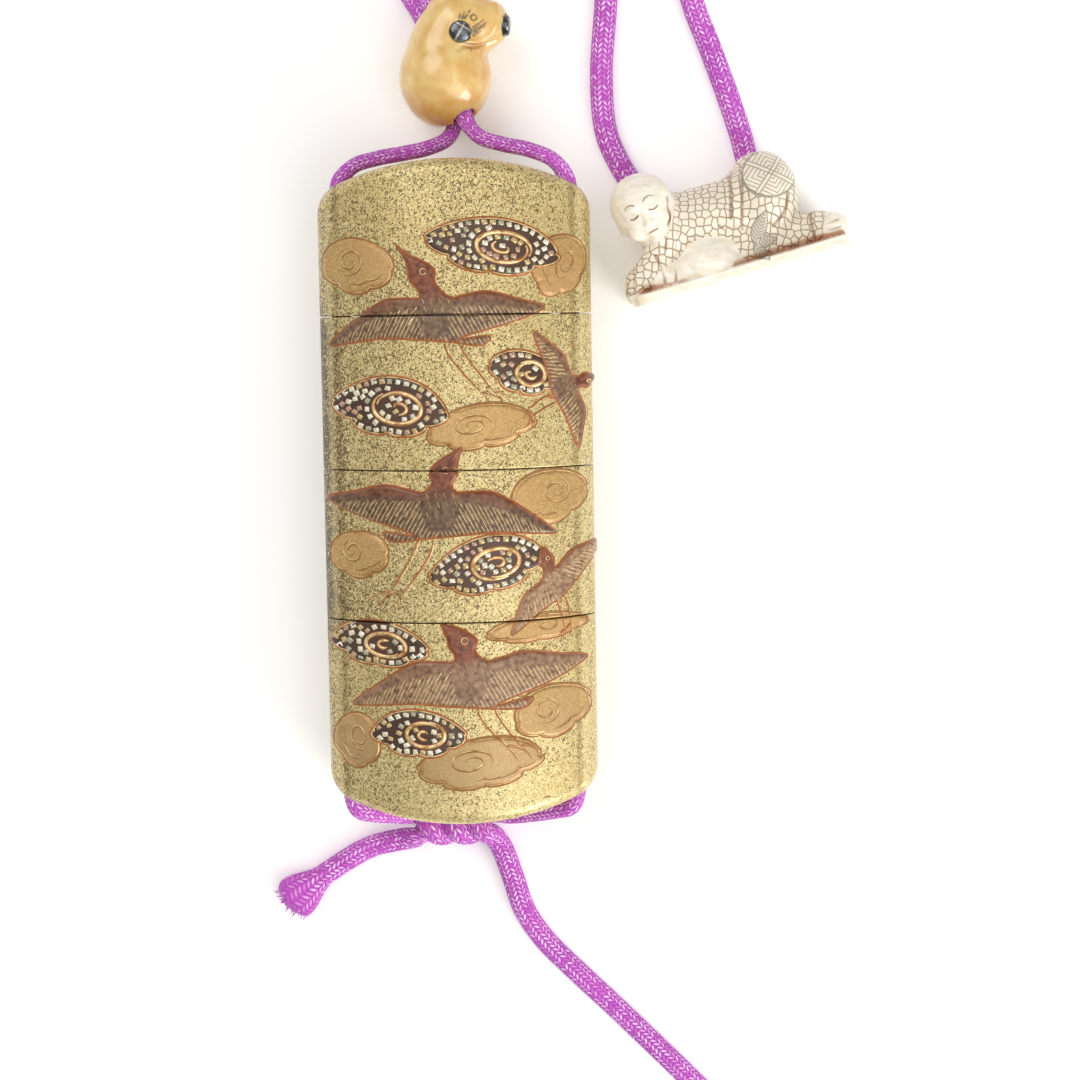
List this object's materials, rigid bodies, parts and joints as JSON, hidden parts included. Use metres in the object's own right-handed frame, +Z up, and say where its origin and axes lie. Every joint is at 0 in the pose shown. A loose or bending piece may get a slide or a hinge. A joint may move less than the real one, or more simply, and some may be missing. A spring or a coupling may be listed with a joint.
{
  "type": "inro case",
  "caption": "Tiered lacquer case with a lift-off lid, strung on a knotted silk cord with a bead and a carved toggle, lying on its back.",
  "frame": {"origin": "middle of the small flat on the back of the case, on the surface that it lies on", "axes": "+Y along the case towards its lid, +Z up out of the decorated front, +X towards the toggle"},
  "size_m": [0.0833, 0.2065, 0.021],
  "materials": {
    "gold_lacquer": "gold-dust lacquer over a thin wooden body, satin, with low relief in brown lacquer and shell mosaic",
    "silk_braid": "flattened tubular braid of purple silk",
    "amber_bead": "polished amber-coloured nut, darker at the rims",
    "dark_inlay": "polished dark inlay",
    "stained_ivory": "polished ivory with stained engraved lines"
  },
  "bodies": {
    "root": {"lid": "gold_lacquer", "case_1": "gold_lacquer", "case_2": "gold_lacquer", "case_3": "gold_lacquer", "cord": "silk_braid", "ojime_bead": "amber_bead", "bead_beetle_inlay": "dark_inlay", "bead_side_inlay": "dark_inlay", "netsuke": "stained_ivory"}
  },
  "joints": []
}
